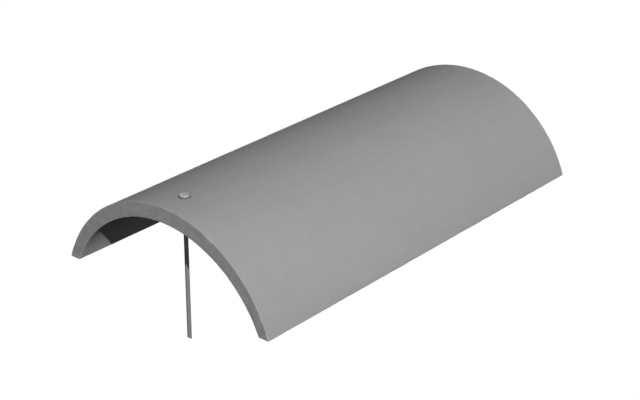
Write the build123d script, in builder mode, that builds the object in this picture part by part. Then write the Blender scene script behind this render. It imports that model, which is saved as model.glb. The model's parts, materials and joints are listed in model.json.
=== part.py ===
"""Half round concrete ridge tile, with the nail and seal that fix it to the ridge batten.

Frame: +Y runs along the ridge, from the nailed end to the plain end, +X runs across it and +Z is up.
The origin is under the middle of the tile, at the level of the nail's tip. All sizes are millimetres.
"""

import os

from build123d import *

# Tile: a moulded barrel, thickest at the crown, standing on two flat feet
tile_length = 450.0
tile_width = 245.0  # across the outer corners of the feet, before they are rounded
tile_rise = 87.0  # from the feet up to the outer crown
crown_thickness = 15.0
foot_width = 11.5  # flat bed face under each long edge, before its edges are rounded
arris_radius = 0.4  # rounding of the moulded edges

# Nail: a wire nail with a low domed head, sheared to a bevel point
nail_length = 143.5  # from under the head to the tip
nail_shank_diameter = 4.0
nail_head_diameter = 9.5
nail_head_rim = 0.7  # height of the head's edge
nail_head_dome = 0.4  # rise of the dome above that edge
nail_head_rim_radius = 0.2
nail_neck_radius = 0.5  # fillet between the shank and the underside of the head
nail_bevel_angle = 35.0  # slope of the sheared point, in degrees

# Seal: a rubber washer between the nail's head and the tile
seal_diameter = 11.0
seal_thickness = 1.2  # at the crown, where it is thinnest
seal_rim_radius = 0.2

# Place and fit of the nail in the tile
nail_end_distance = 28.5  # from the tile's end to the nail's axis
nail_hole_clearance = 1.0  # all round the shank, in the tile and in the seal

# Levels and places that follow from the sizes above
half_width = tile_width / 2
half_opening = half_width - foot_width
shank_radius = nail_shank_diameter / 2
head_radius = nail_head_diameter / 2
nail_hole_radius = shank_radius + nail_hole_clearance
seat_level = nail_length
crown_level = seat_level - seal_thickness
bed_level = crown_level - tile_rise
nail_y = nail_end_distance - tile_length / 2
end_section = Plane((0, -tile_length / 2, bed_level), x_dir=(1, 0, 0), z_dir=(0, -1, 0))
crown_at_nail = Plane((0, nail_y, crown_level))
nail_seat = Plane((0, nail_y, seat_level))
nail_axis = Axis((0, nail_y, 0), (0, 0, 1))
nail_section = Plane((0, nail_y, seat_level), x_dir=(1, 0, 0), z_dir=(0, -1, 0))
point_cut = Plane((0, nail_y + shank_radius, 0)).rotated((-nail_bevel_angle, 0, 0))

with BuildPart() as ridge_tile:
    with BuildSketch(end_section):
        with BuildLine():
            outer = ThreePointArc((-half_width, 0), (0, tile_rise), (half_width, 0))
            inner = ThreePointArc((-half_opening, 0), (0, tile_rise - crown_thickness), (half_opening, 0))
            Line(outer @ 0, inner @ 0)
            Line(outer @ 1, inner @ 1)
        make_face()
    extrude(amount=-tile_length)
    fillet(ridge_tile.edges(), radius=arris_radius)
    with Locations(crown_at_nail):
        Hole(radius=nail_hole_radius, depth=2 * crown_thickness)

# The seal is pressed to the curve of the crown, so the tile is cut out of a deeper ring
with BuildPart() as seal_washer:
    with BuildSketch(nail_seat):
        Circle(seal_diameter / 2)
        Circle(nail_hole_radius, mode=Mode.SUBTRACT)
    extrude(amount=-(seal_thickness + crown_thickness / 2))
    top_rim = seal_washer.faces().sort_by(Axis.Z)[-1].outer_wire().edges()
    fillet(top_rim, radius=seal_rim_radius)
    add(ridge_tile.part, mode=Mode.SUBTRACT)

with BuildPart() as ridge_nail:
    with BuildSketch(nail_section):
        with BuildLine():
            dome = TangentArc((0, nail_head_rim + nail_head_dome), (head_radius, nail_head_rim), tangent=(1, 0))
            Line(dome @ 1, (head_radius, 0))
            Line((head_radius, 0), (shank_radius, 0))
            Line((shank_radius, 0), (shank_radius, -nail_length))
            Line((shank_radius, -nail_length), (0, -nail_length))
            Line((0, -nail_length), dome @ 0)
        make_face()
    revolve(axis=nail_axis)
    rings = ridge_nail.edges().filter_by(lambda edge: edge.is_closed).group_by(SortBy.RADIUS)
    neck = rings[0].sort_by(Axis.Z)[-1]
    fillet(rings[-1], radius=nail_head_rim_radius)
    fillet(neck, radius=nail_neck_radius)
    split(bisect_by=point_cut, keep=Keep.TOP)

ridge_tile.part.label = "ridge_tile"
seal_washer.part.label = "seal_washer"
ridge_nail.part.label = "ridge_nail"

os.makedirs("parts", exist_ok=True)
for piece in (ridge_tile, seal_washer, ridge_nail):
    export_step(piece.part, f"parts/{piece.part.label}.step")
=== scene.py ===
"""Half round concrete ridge tile with its nail and seal, on a white floor, seen as in the photograph."""

import json
import math

import bmesh
import bpy
import numpy as np
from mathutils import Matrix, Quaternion, Vector, noise


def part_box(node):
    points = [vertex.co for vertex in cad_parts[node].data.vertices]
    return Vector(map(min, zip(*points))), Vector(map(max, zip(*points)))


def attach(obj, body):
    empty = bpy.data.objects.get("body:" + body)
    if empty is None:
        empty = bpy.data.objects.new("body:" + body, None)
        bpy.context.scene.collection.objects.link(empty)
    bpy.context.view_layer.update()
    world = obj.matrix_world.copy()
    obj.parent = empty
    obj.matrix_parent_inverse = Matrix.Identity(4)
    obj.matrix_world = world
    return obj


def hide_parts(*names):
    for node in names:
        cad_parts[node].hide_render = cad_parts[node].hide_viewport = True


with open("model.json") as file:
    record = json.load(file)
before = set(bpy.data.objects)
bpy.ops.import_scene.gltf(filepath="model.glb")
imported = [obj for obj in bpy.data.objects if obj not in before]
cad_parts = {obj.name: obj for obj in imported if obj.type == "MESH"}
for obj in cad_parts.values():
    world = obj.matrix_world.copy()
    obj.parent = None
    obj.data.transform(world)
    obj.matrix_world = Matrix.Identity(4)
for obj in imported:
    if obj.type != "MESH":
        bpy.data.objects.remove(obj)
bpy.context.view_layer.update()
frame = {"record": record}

# Places and sizes read from the frame, in metres
tile_low, tile_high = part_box("ridge_tile")
nail_low, nail_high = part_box("ridge_nail")
seal_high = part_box("seal_washer")[1]
bed_level = tile_low.z
tile_rise = tile_high.z - tile_low.z
half_length = tile_high.y
nail_y = (nail_low.y + nail_high.y) / 2
tip_level = nail_low.z
head_level = nail_high.z
head_radius = nail_high.x
seat_level = seal_high.z
seal_radius = seal_high.x
mounts = {mount["name"]: mount for mount in frame["record"]["mounts"]}
shank_radius = mounts["nail_shank"]["dims"]["r_mm"] / 1000

# Sizes of the tile's section, the hole, the nail and the seal, in metres
TILE_HALF_WIDTH = 0.1225  # to the outer corner of a foot, before it is rounded
FOOT_WIDTH = 0.0115
CROWN_THICKNESS = 0.015
ARRIS_RADIUS = 0.0004  # rounding of the tile's edges
HOLE_CLEARANCE = 0.001  # all round the shank, in the tile and in the seal
DRILL_LENGTH = 0.060  # well past both faces of the crown
HEAD_RIM = 0.0007  # height of the head's edge
HEAD_RIM_RADIUS = 0.0002
NECK_RADIUS = 0.0005  # fillet under the head
BEVEL = math.radians(35.0)  # slope of the sheared point
SEAL_RIM_RADIUS = 0.0002
SEAL_BULGE = 0.0001  # of the squeezed rubber's wall
SEAL_SINK = 0.0001  # of the rubber into the concrete's grain

# Fine relief of the moulded concrete and of the zinc on the nail, in metres
WAVE_HEIGHT = 0.00012
WAVE_SIZE = 0.050
DRAG_HEIGHT = 0.00004
DRAG_WIDTH = 0.007
DRAG_LENGTH = 0.250
WEAR_DEPTH = 0.0004
WEAR_SIZE = 0.007
ZINC_HEIGHT = 0.00003
ZINC_SIZE = 0.003

# How finely the meshes are divided, and what counts as an edge
ARC_STEPS = 72  # from the crown to one foot
ARRIS_STEPS = 4
FOOT_STEPS = 5
LENGTH_STEPS = 204
GUARD = 0.0003  # from each arris to the next row of points, so that the faces shade flat right up to it
HOLE_SIDES = 48
TURNED_SIDES = 72
CURVE_STEPS = 6
SHANK_STEPS = 60
SMOOTH_BEND = math.radians(5.0)  # between two faces, up to which they are not on an arris
ARRIS_BEND = math.radians(15.0)  # between two faces, from which they are
SHARP_ANGLE = math.radians(40.0)
WELD_DISTANCE = 1e-6

# Tones of the materials, as the share of light that they throw back
CONCRETE_GREY = 0.3
INNER_PAINTED_LIGHT = 1.16  # painted light: the inner face is made paler, to brighten the lit patch inside the vault
END_PAINTED_LIGHT = 1.04  # painted light: both end faces are made a little paler, to brighten the lit near end face
SHANK_GREY = 0.3
HEAD_GREY = 0.6
RUBBER_GREY = 0.1
DUST_GREY = 0.15

# Where the tile's tones change, in metres into the concrete, and what the patterns have in common
INNER_MASK_DEPTH = 0.0002  # from the inner face, which covers its relief
END_DEPTH = 0.00008  # from an end face
NOISE_RANGE = (0.3, 0.7)  # holds most values of a noise
NOISE_MEAN = 0.5
DUST_RANGE = (0.3, 0.75)  # of the noise, from clean rubber to dusty
LINE_STRETCH = 0.03  # how much slower drag lines and drawing lines change along than across
GRAIN_STRETCH = 1.13  # puts the light grains elsewhere than the dark ones
PIT_LEAST = 0.01  # radius at the points that have no pit, too small to show, as a share of the spacing
PIT_FLOOR = 0.4  # radius of a pit's flat middle, as a share of the pit's own

# The photograph's camera, for an image 640 pixels wide, with angles in degrees
IMAGE_WIDTH_PX = 640
FOCAL_LENGTH_PX = 1654.9
SENSOR_WIDTH_MM = 36.0
VIEW_AZIMUTH = 40.34
VIEW_ELEVATION = 24.97
VIEW_ROLL = 0.11
VIEW_DISTANCE = 1.6412
VIEW_TARGET = Vector((-0.0296, 0.020, bed_level - 0.0018))

# Floor and lamps, with angles in degrees as seen from the nail, sizes in metres and powers in watts
FLOOR_SIZE = 12.0
LAMPS = {
    # small and bright, to the right of the camera
    "key": dict(azimuth=58.8, elevation=39.8, distance=6.0, diameter=0.1, power=420.0),
    # soft, behind the camera and lower
    "fill": dict(azimuth=36.0, elevation=12.0, distance=4.0, diameter=2.0, power=23.0),
    # soft, behind on the left
    "back": dict(azimuth=240.0, elevation=5.0, distance=4.0, diameter=2.0, power=23.3),
    # behind and below, for the light that a white floor throws up
    "bounce": dict(azimuth=225.0, elevation=-20.0, distance=4.0, diameter=1.0, power=80.0),
}


def direction(azimuth, elevation):
    """Unit vector towards a camera or lamp; azimuth 0 is before the nailed end, 90 to the right of it."""
    turn = math.radians(azimuth)
    rise = math.radians(elevation)
    flat = math.cos(rise)
    return Vector((math.sin(turn) * flat, -math.cos(turn) * flat, math.sin(rise)))


def arc(centre, radius, start, stop, steps):
    """Points across and up along an arc, without its last one; angles run from straight up to the right."""
    angles = np.linspace(start, stop, steps, endpoint=False)
    return np.asarray(centre) + radius * np.column_stack((np.sin(angles), np.cos(angles)))


def line(start, stop, steps):
    """Evenly spaced points from start to stop, without the last one."""
    return np.linspace(start, stop, steps, endpoint=False)


def guarded(length, steps):
    """Shares from 0 to 1 of a length between two arrises: even steps, and a point close to each arris."""
    guard = GUARD / length
    return np.concatenate(([0.0], np.linspace(guard, 1 - guard, steps + 1), [1.0]))


def arc_radius(half_span, rise):
    """Radius of the arc that rises that far over twice the half span."""
    return (half_span ** 2 + rise ** 2) / (2 * rise)


# The section's arcs and the centres of its foot's rounded corners, measured up from the bed, and the hole
outer_radius = arc_radius(TILE_HALF_WIDTH, tile_rise)
outer_centre = tile_rise - outer_radius
inner_rise = tile_rise - CROWN_THICKNESS
inner_radius = arc_radius(TILE_HALF_WIDTH - FOOT_WIDTH, inner_rise)
inner_centre = inner_rise - inner_radius
outer_corner = math.sqrt((outer_radius - ARRIS_RADIUS) ** 2 - (ARRIS_RADIUS - outer_centre) ** 2)
inner_corner = math.sqrt((inner_radius + ARRIS_RADIUS) ** 2 - (ARRIS_RADIUS - inner_centre) ** 2)
outer_turn = math.atan2(outer_corner, ARRIS_RADIUS - outer_centre)
inner_turn = math.atan2(inner_corner, ARRIS_RADIUS - inner_centre)
outer_guard = outer_turn - GUARD / outer_radius
inner_guard = inner_turn - GUARD / inner_radius
foot_shares = guarded(outer_corner - inner_corner, FOOT_STEPS)
hole_radius = shank_radius + HOLE_CLEARANCE


def half_outline(inset):
    """Half the section's outline, from the outer crown round a foot to the inner one, drawn in by inset."""
    corner = ARRIS_RADIUS - inset
    foot = outer_corner + foot_shares[:-1] * (inner_corner - outer_corner)
    return np.vstack((
        arc((0, outer_centre), outer_radius - inset, 0, outer_guard, ARC_STEPS),
        arc((0, outer_centre), outer_radius - inset, outer_guard, outer_turn, 1),
        arc((outer_corner, ARRIS_RADIUS), corner, outer_turn, math.pi, ARRIS_STEPS),
        np.column_stack((foot, np.full(len(foot), inset))),
        arc((inner_corner, ARRIS_RADIUS), corner, math.pi, math.pi + inner_turn, ARRIS_STEPS),
        arc((0, inner_centre), inner_radius + inset, inner_turn, inner_guard, 1),
        arc((0, inner_centre), inner_radius + inset, inner_guard, 0, ARC_STEPS),
        [(0, inner_centre + inner_radius + inset)],
    ))


def mirrored(points):
    return points * (-1, 1)


def both_sides(half):
    """A row of points that starts on the middle line, with its mirror image before it."""
    return np.vstack((mirrored(half[:0:-1]), half))


def stand(points, y):
    """Puts points across and up from the bed into the frame, at one place along the tile."""
    across, up = points.T
    return np.column_stack((across, np.full(len(points), y), bed_level + up))


def grid_faces(rows, columns, closed):
    """Quads over a grid of points, row by row; a closed grid joins its last column to its first."""
    count = columns if closed else columns - 1
    faces = []
    for row in range(rows - 1):
        for column in range(count):
            first = row * columns + column
            beside = row * columns + (column + 1) % columns
            faces.append((first, beside, beside + columns, first + columns))
    return faces


def add_grid(solid, points, closed):
    """Adds a grid of points, given as rows of points, to a bmesh as quads."""
    rows, columns = points.shape[:2]
    corners = [solid.verts.new(point) for point in points.reshape(-1, 3)]
    for face in grid_faces(rows, columns, closed):
        solid.faces.new([corners[index] for index in face])


def weld(solid):
    """Joins the points of a bmesh that lie on one another."""
    bmesh.ops.remove_doubles(solid, verts=solid.verts, dist=WELD_DISTANCE)


def turn_outwards(solid):
    """Turns all faces of a closed bmesh outwards."""
    bmesh.ops.recalc_face_normals(solid, faces=solid.faces)
    solid.normal_update()


def push_out(solid, relief):
    """Moves each point of a bmesh along its normal, as far as the relief says."""
    moves = [vert.normal * relief(vert) for vert in solid.verts]
    for vert, move in zip(solid.verts, moves):
        vert.co += move


def take_mesh(solid, name):
    """Turns a bmesh into a mesh, and frees the bmesh."""
    mesh = bpy.data.meshes.new(name)
    solid.to_mesh(mesh)
    solid.free()
    return mesh


def shade_smooth(mesh):
    """Shades a mesh smooth, except over its sharp edges."""
    mesh.polygons.foreach_set("use_smooth", np.ones(len(mesh.polygons), dtype=bool))
    mesh.set_sharp_from_angle(angle=SHARP_ANGLE)


def new_object(name, data):
    made = bpy.data.objects.new(name, data)
    bpy.context.scene.collection.objects.link(made)
    return made


def tile_barrel():
    """Rings of points along the tile, drawn in over the arris at each end."""
    turns = np.linspace(0, math.pi / 2, ARRIS_STEPS + 1)
    places = ARRIS_RADIUS * (1 - np.cos(turns)) - half_length
    insets = ARRIS_RADIUS * (1 - np.sin(turns))
    span = -2 * places[-1]
    middle = places[-1] + span * guarded(span, LENGTH_STEPS)[1:-1]
    all_places = np.concatenate((places, middle, -places[::-1]))
    all_insets = np.concatenate((insets, np.zeros(len(middle)), insets[::-1]))
    rings = []
    for place, inset in zip(all_places, all_insets):
        half = half_outline(inset)
        rings.append(stand(np.vstack((half, mirrored(half[-2:0:-1]))), place))
    return np.array(rings)


def tile_end(y):
    """Rows of points across the thickness of one end face, from one foot over the crown to the other."""
    half = half_outline(ARRIS_RADIUS)
    count = ARC_STEPS + 2  # from the crown to the corner of the foot, with the guarding point before it
    outer = both_sides(half[:count])
    inner = both_sides(half[::-1][:count])
    rows = []
    for start, stop in zip(outer, inner):
        rows.append(stand(start + np.outer(foot_shares, stop - start), y))
    return np.array(rows)


def stretched(point, x, y, z):
    return Vector((point.x / x, point.y / y, point.z / z))


def arris_share(vert):
    """1 on the rounding of an arris, 0 on the smooth faces."""
    bend = max(edge.calc_face_angle(0.0) for edge in vert.link_edges)
    return min(1.0, max(0.0, (bend - SMOOTH_BEND) / (ARRIS_BEND - SMOOTH_BEND)))


def concrete_relief(vert):
    """How far the moulded face stands out: broad waves, drag lines along the tile, and worn arrises."""
    wave = WAVE_HEIGHT * noise.noise(vert.co / WAVE_SIZE)
    drag = DRAG_HEIGHT * noise.noise(stretched(vert.co, DRAG_WIDTH, DRAG_LENGTH, DRAG_WIDTH))
    wear = WEAR_DEPTH * arris_share(vert) * max(0.0, noise.noise(vert.co / WEAR_SIZE))
    return wave + drag - wear


def zinc_relief(vert):
    """How far the lumpy zinc coat stands out."""
    return ZINC_HEIGHT * noise.noise(vert.co / ZINC_SIZE)


def drill(piece):
    """Cuts the round hole for the nail through the crown, and welds the double points that this leaves."""
    rod = bmesh.new()
    bmesh.ops.create_cone(
        rod,
        cap_ends=True,
        segments=HOLE_SIDES,
        radius1=hole_radius,
        radius2=hole_radius,
        depth=DRILL_LENGTH,
    )
    bmesh.ops.translate(rod, verts=rod.verts, vec=(0, nail_y, bed_level + tile_rise))
    drill_bit = new_object("drill_bit", take_mesh(rod, "drill_bit"))
    cut = piece.modifiers.new("nail_hole", "BOOLEAN")
    cut.object = drill_bit
    cut.operation = "DIFFERENCE"
    result = piece.evaluated_get(bpy.context.evaluated_depsgraph_get())
    drilled = bmesh.new()
    drilled.from_mesh(result.data)
    weld(drilled)
    whole = piece.data
    piece.modifiers.clear()
    piece.data = take_mesh(drilled, "tile")
    bpy.data.meshes.remove(whole)
    bpy.data.meshes.remove(drill_bit.data)  # the drill bit itself goes with its mesh


def build_tile():
    """The moulded barrel, as an even mesh with the fine relief of its surface."""
    solid = bmesh.new()
    add_grid(solid, tile_barrel(), closed=True)
    add_grid(solid, tile_end(-half_length), closed=False)
    add_grid(solid, tile_end(half_length), closed=False)
    weld(solid)
    turn_outwards(solid)
    push_out(solid, concrete_relief)
    tile = new_object("tile", take_mesh(solid, "tile"))
    drill(tile)
    return tile


def turned(profile):
    """Rings of points about the nail's axis, one for each pair of radius and level in the profile."""
    angles = np.linspace(0, 2 * math.pi, TURNED_SIDES, endpoint=False)
    rings = []
    for radius, level in profile:
        across = radius * np.cos(angles)
        along = nail_y + radius * np.sin(angles)
        rings.append(np.column_stack((across, along, np.full(TURNED_SIDES, level))))
    return np.array(rings)


def nail_profile():
    """Pairs of radius and level from the top of the domed head to just above the point."""
    rim_level = seat_level + HEAD_RIM
    dome_radius = arc_radius(head_radius, head_level - rim_level)
    dome_centre = head_level - dome_radius
    corner = head_radius - HEAD_RIM_RADIUS
    corner_level = dome_centre + math.sqrt((dome_radius - HEAD_RIM_RADIUS) ** 2 - corner ** 2)
    dome_turn = math.atan2(corner, corner_level - dome_centre)
    neck = (shank_radius + NECK_RADIUS, seat_level - NECK_RADIUS)
    bevel_top = tip_level + 2 * shank_radius * math.tan(BEVEL)
    return np.vstack((
        arc((0, dome_centre), dome_radius, 0, dome_turn, 2 * CURVE_STEPS),
        arc((corner, corner_level), HEAD_RIM_RADIUS, dome_turn, math.pi / 2, CURVE_STEPS),
        arc((corner, seat_level + HEAD_RIM_RADIUS), HEAD_RIM_RADIUS, math.pi / 2, math.pi, CURVE_STEPS),
        line((corner, seat_level), (neck[0], seat_level), CURVE_STEPS),
        arc(neck, NECK_RADIUS, 0, -math.pi / 2, CURVE_STEPS),
        line((shank_radius, neck[1]), (shank_radius, bevel_top), SHANK_STEPS),
    ))


def build_nail():
    """The turned nail with a lumpy zinc coat, its point sheared to a bevel that is lowest on the +Y side."""
    rings = turned(nail_profile())
    point = turned([(shank_radius, tip_level)])
    point[..., 2] += (nail_y + shank_radius - point[..., 1]) * math.tan(BEVEL)
    solid = bmesh.new()
    add_grid(solid, np.concatenate((rings, point)), closed=True)
    weld(solid)
    bmesh.ops.holes_fill(solid, edges=solid.edges, sides=TURNED_SIDES)
    turn_outwards(solid)
    push_out(solid, zinc_relief)
    return new_object("nail", take_mesh(solid, "nail"))


def crown_surface(across):
    """Level of the tile's outer face at a distance across the crown."""
    return bed_level + outer_centre + np.sqrt(outer_radius ** 2 - across ** 2)


def build_seal():
    """The rubber ring, squeezed between the head and the curve of the crown."""
    thickness = seat_level - crown_surface(0.0)
    rim = SEAL_RIM_RADIUS
    wall = line((seal_radius, thickness - rim), (seal_radius, 0), CURVE_STEPS)
    wall[:, 0] += SEAL_BULGE * np.sin(math.pi * wall[:, 1] / thickness)
    profile = np.vstack((
        line((hole_radius, thickness), (seal_radius - rim, thickness), CURVE_STEPS),
        arc((seal_radius - rim, thickness - rim), rim, 0, math.pi / 2, CURVE_STEPS),
        wall,
        line((seal_radius, 0), (hole_radius, 0), CURVE_STEPS),
        line((hole_radius, 0), (hole_radius, thickness), CURVE_STEPS),
        [(hole_radius, thickness)],
    ))
    rings = turned(profile)
    bottom = crown_surface(rings[..., 0]) - SEAL_SINK
    rings[..., 2] = bottom + (seat_level - bottom) * rings[..., 2] / thickness
    solid = bmesh.new()
    add_grid(solid, rings, closed=True)
    weld(solid)
    turn_outwards(solid)
    return new_object("seal", take_mesh(solid, "seal"))


class Graph:
    """A node tree with short calls for the nodes that the materials are made of."""

    def __init__(self, tree):
        self.tree = tree
        self.tree.nodes.clear()

    def node(self, kind, inputs=None, **settings):
        """A new node with its settings, and with a value or a link for each input that is given."""
        made = self.tree.nodes.new("ShaderNode" + kind)
        for name, value in settings.items():
            setattr(made, name, value)
        for name, value in (inputs or {}).items():
            if isinstance(value, bpy.types.NodeSocket):
                self.tree.links.new(value, made.inputs[name])
            else:
                made.inputs[name].default_value = value
        return made

    def place(self):
        """The point on the surface in metres, in the part's frame."""
        return self.node("TexCoord").outputs["Object"]

    def axis(self, vector, name):
        return self.node("SeparateXYZ", {"Vector": vector}).outputs[name]

    def stretch(self, vector, factors):
        return self.node("VectorMath", {0: vector, 1: factors}, operation="MULTIPLY").outputs[0]

    def distance(self, vector, point):
        return self.node("VectorMath", {0: vector, 1: point}, operation="DISTANCE").outputs["Value"]

    def noise(self, vector, size, detail=2.0, roughness=0.5):
        """Smooth noise from 0 to 1 whose blotches are about size metres across."""
        inputs = {"Vector": vector, "Scale": 1 / size, "Detail": detail, "Roughness": roughness}
        return self.node("TexNoise", inputs).outputs["Fac"]

    def cells(self, vector, size):
        """Scattered points about size metres apart: the distance to the nearest, in sizes, and its value."""
        made = self.node("TexVoronoi", {"Vector": vector, "Scale": 1 / size})
        value = self.node("SeparateColor", {"Color": made.outputs["Color"]}).outputs["Red"]
        return made.outputs["Distance"], value

    def pits(self, vector, spacing, radius, share):
        """1 in round pits of up to that radius, at a share of the scattered points, and 0 between them."""
        distance, value = self.cells(vector, spacing)
        reach = self.span(value, (1 - share, 1.0), (PIT_LEAST, radius / spacing), smooth=False)
        return self.span(distance, (reach, self.product(reach, PIT_FLOOR)), (0.0, 1.0))

    def span(self, value, source, target, smooth=True):
        """Maps a value from the source range to the target range, and holds it there."""
        made = self.node(
            "MapRange",
            {"Value": value, "From Min": source[0], "From Max": source[1],
             "To Min": target[0], "To Max": target[1]},
            interpolation_type="SMOOTHSTEP" if smooth else "LINEAR",
        )
        return made.outputs["Result"]

    def vary(self, value, amount):
        """A factor about 1 that goes down and up by the amount with a noise."""
        return self.span(value, NOISE_RANGE, (1 - amount, 1 + amount))

    def where(self, mask, factor):
        """The factor where a mask is 1, and 1 where it is 0."""
        return self.span(mask, (0.0, 1.0), (1.0, factor))

    def math(self, operation, first, second):
        return self.node("Math", {0: first, 1: second}, operation=operation).outputs[0]

    def product(self, *values):
        total = values[0]
        for value in values[1:]:
            total = self.math("MULTIPLY", total, value)
        return total

    def sum(self, *values):
        total = values[0]
        for value in values[1:]:
            total = self.math("ADD", total, value)
        return total

    def grey(self, value):
        made = self.node("CombineColor", {"Red": value, "Green": value, "Blue": value})
        return made.outputs["Color"]

    def bump(self, height, depth):
        """Surface relief from a height between 0 and 1 that stands for depth metres."""
        made = self.node("Bump", {"Height": height, "Strength": 1.0, "Distance": depth})
        return made.outputs["Normal"]

    def surface(self, inputs):
        shader = self.node("BsdfPrincipled", inputs)
        self.node("OutputMaterial", {"Surface": shader.outputs["BSDF"]})


def new_material(name):
    made = bpy.data.materials.new(name)
    made.use_nodes = True
    return made, Graph(made.node_tree)


def inner_face(graph, place):
    """A mask that is 1 on the tile's inner face and fades out over its arrises."""
    from_axis = graph.distance(graph.stretch(place, (1.0, 0.0, 1.0)), (0, 0, bed_level + inner_centre))
    inner_mask_radius = inner_radius + INNER_MASK_DEPTH
    return graph.span(from_axis, (inner_mask_radius, inner_mask_radius + ARRIS_RADIUS), (1.0, 0.0))


def end_faces(graph, place):
    """A mask that is 1 on the tile's end faces and fades out over their arrises."""
    from_middle = graph.math("ABSOLUTE", graph.axis(place, "Y"), 0.0)
    return graph.span(from_middle, (half_length - ARRIS_RADIUS, half_length - END_DEPTH), (0.0, 1.0))


def concrete():
    """Moulded grey concrete: fine sand in cement, faintly mottled, with drag lines and a few air holes;
    painted light makes the inner and end faces paler, and painted shade darkens the pores and air holes.
    """
    made, graph = new_material("concrete")
    place = graph.place()
    inside = inner_face(graph, place)
    ends = end_faces(graph, place)
    mottle = graph.noise(place, size=0.070, detail=4.0)
    cloud = graph.noise(place, size=0.016, detail=3.0)
    drag = graph.noise(graph.stretch(place, (1.0, LINE_STRETCH, 1.0)), size=0.004)
    sand = graph.noise(place, size=0.0014, detail=6.0, roughness=0.75)
    coarse = graph.noise(graph.stretch(place, (1.0, 1.0, 2.0)), size=0.011, detail=4.0, roughness=0.6)
    blotch = graph.product(ends, graph.sum(coarse, -NOISE_MEAN))
    dark_grains = graph.pits(place, spacing=0.0011, radius=0.0004, share=0.35)
    elsewhere = graph.stretch(place, (GRAIN_STRETCH, GRAIN_STRETCH, GRAIN_STRETCH))
    light_grains = graph.pits(elsewhere, spacing=0.0013, radius=0.0004, share=0.3)
    pores = graph.pits(place, spacing=0.006, radius=0.0005, share=0.5)
    air_holes = graph.pits(place, spacing=0.030, radius=0.0011, share=0.4)
    tone = graph.product(
        CONCRETE_GREY,
        graph.vary(mottle, 0.015),
        graph.vary(cloud, 0.01),
        graph.vary(drag, 0.01),
        # painted light: the inner face is made paler, to brighten its lit patch
        graph.where(inside, INNER_PAINTED_LIGHT),
        # painted light: the end faces are made a little paler, to brighten the lit near end
        graph.where(ends, END_PAINTED_LIGHT),
        graph.span(blotch, (-0.2, 0.2), (0.93, 1.07)),
        graph.vary(sand, 0.05),
        graph.where(dark_grains, 0.8),
        graph.where(light_grains, 1.2),
        # painted shade: the pores and air holes are darkened in colour as well as sunk in the bump
        graph.where(pores, 0.7),
        graph.where(air_holes, 0.72),
    )
    height = graph.sum(
        graph.product(sand, 0.7),
        graph.product(drag, 0.2),
        graph.product(blotch, 1.5),
        graph.product(pores, -0.7),
        graph.product(air_holes, -1.0),
    )
    graph.surface({
        "Base Color": graph.grey(tone),
        "Roughness": graph.span(sand, NOISE_RANGE, (0.84, 0.96)),
        "Specular IOR Level": 0.2,
        "Normal": graph.bump(height, depth=0.0003),
    })
    return made


def nail_metal():
    """Dull galvanised steel with a soft zinc spangle, drawing lines along the wire and a burnished head."""
    made, graph = new_material("nail_metal")
    place = graph.place()
    spangle_edge, spangle = graph.cells(place, size=0.0014)
    lines = graph.noise(graph.stretch(place, (1.0, 1.0, LINE_STRETCH)), size=0.0004)
    patina = graph.noise(place, size=0.006, detail=3.0)
    head = graph.span(graph.axis(place, "Z"), (seat_level - NECK_RADIUS, seat_level), (0.0, 1.0))
    tone = graph.product(
        graph.span(head, (0.0, 1.0), (SHANK_GREY, HEAD_GREY), smooth=False),
        graph.span(spangle, (0.0, 1.0), (0.94, 1.06), smooth=False),
        graph.vary(patina, 0.07),
        graph.vary(lines, 0.03),
    )
    roughness = graph.product(
        graph.span(head, (0.0, 1.0), (1.0, 0.95), smooth=False),
        graph.span(spangle, (0.0, 1.0), (0.52, 0.64), smooth=False),
    )
    graph.surface({
        "Base Color": graph.grey(tone),
        "Metallic": 0.4,
        "Roughness": roughness,
        "Normal": graph.bump(graph.sum(lines, graph.product(spangle_edge, 0.3)), depth=0.00002),
    })
    return made


def seal_rubber():
    """Dark grey moulded rubber with a little dust."""
    made, graph = new_material("seal_rubber")
    dust = graph.noise(graph.place(), size=0.0015, detail=4.0)
    graph.surface({
        "Base Color": graph.grey(graph.span(dust, DUST_RANGE, (RUBBER_GREY, DUST_GREY))),
        "Roughness": graph.span(dust, NOISE_RANGE, (0.65, 0.85)),
        "Normal": graph.bump(dust, depth=0.00003),
    })
    return made


def dress(piece, node, material):
    """Gives a piece its finish and its place in the frame, where it stands for a solid."""
    piece.data.materials.clear()
    piece.data.materials.append(material)
    shade_smooth(piece.data)
    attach(piece, "root")
    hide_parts(node)


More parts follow.
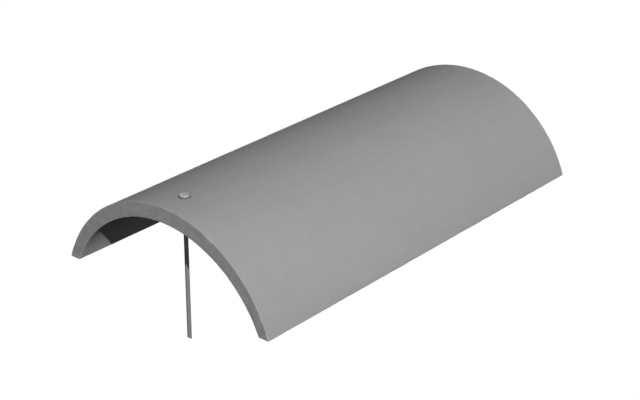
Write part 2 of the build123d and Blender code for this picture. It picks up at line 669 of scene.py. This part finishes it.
def build_floor():
    """A white floor at the level of the nail's tip. It takes no shadow and throws no light back."""
    half = FLOOR_SIZE / 2
    corners = [(-half, -half, 0), (half, -half, 0), (half, half, 0), (-half, half, 0)]
    mesh = bpy.data.meshes.new("floor")
    mesh.from_pydata(corners, [], [(0, 1, 2, 3)])
    floor = new_object("floor", mesh)
    made, graph = new_material("floor_white")
    white = graph.node("Emission", {"Color": (1, 1, 1, 1), "Strength": 1.0})
    graph.node("OutputMaterial", {"Surface": white.outputs["Emission"]})
    mesh.materials.append(made)
    floor.visible_diffuse = False
    floor.visible_glossy = False
    floor.visible_shadow = False


def build_sky():
    """White behind the object, which throws no light on it."""
    world = bpy.data.worlds.new("studio")
    bpy.context.scene.world = world
    world.use_nodes = True
    graph = Graph(world.node_tree)
    white = graph.node("Background", {"Color": (1, 1, 1, 1), "Strength": 1.0})
    seen = graph.node("LightPath").outputs["Is Camera Ray"]
    mixed = graph.node("MixShader", {0: seen, 2: white.outputs["Background"]})
    graph.node("OutputWorld", {"Surface": mixed.outputs["Shader"]})


def build_lamp(name, azimuth, elevation, distance, diameter, power):
    """A round lamp that faces the tile, aimed at where the nail passes the level of the feet."""
    lamp = bpy.data.lights.new(name, "AREA")
    lamp.shape = "DISK"
    lamp.size = diameter
    lamp.energy = power
    holder = new_object(name, lamp)
    towards = direction(azimuth, elevation)
    holder.location = Vector((0, nail_y, bed_level)) + towards * distance
    holder.rotation_euler = towards.to_track_quat("Z", "Y").to_euler()


def build_camera():
    """The photograph's camera, as fitted to the tile's outline."""
    lens = bpy.data.cameras.new("camera")
    lens.sensor_width = SENSOR_WIDTH_MM
    lens.lens = FOCAL_LENGTH_PX / IMAGE_WIDTH_PX * SENSOR_WIDTH_MM
    camera = new_object("camera", lens)
    back = direction(VIEW_AZIMUTH, VIEW_ELEVATION)
    camera.location = VIEW_TARGET + back * VIEW_DISTANCE
    upright = back.to_track_quat("Z", "Y")
    camera.rotation_euler = (upright @ Quaternion((0, 0, 1), math.radians(VIEW_ROLL))).to_euler()
    bpy.context.scene.camera = camera


dress(build_tile(), "ridge_tile", concrete())
dress(build_nail(), "ridge_nail", nail_metal())
dress(build_seal(), "seal_washer", seal_rubber())
build_floor()
build_sky()
for lamp_name, lamp_settings in LAMPS.items():
    build_lamp(lamp_name, **lamp_settings)
build_camera()
bpy.context.scene.view_settings.view_transform = "Standard"
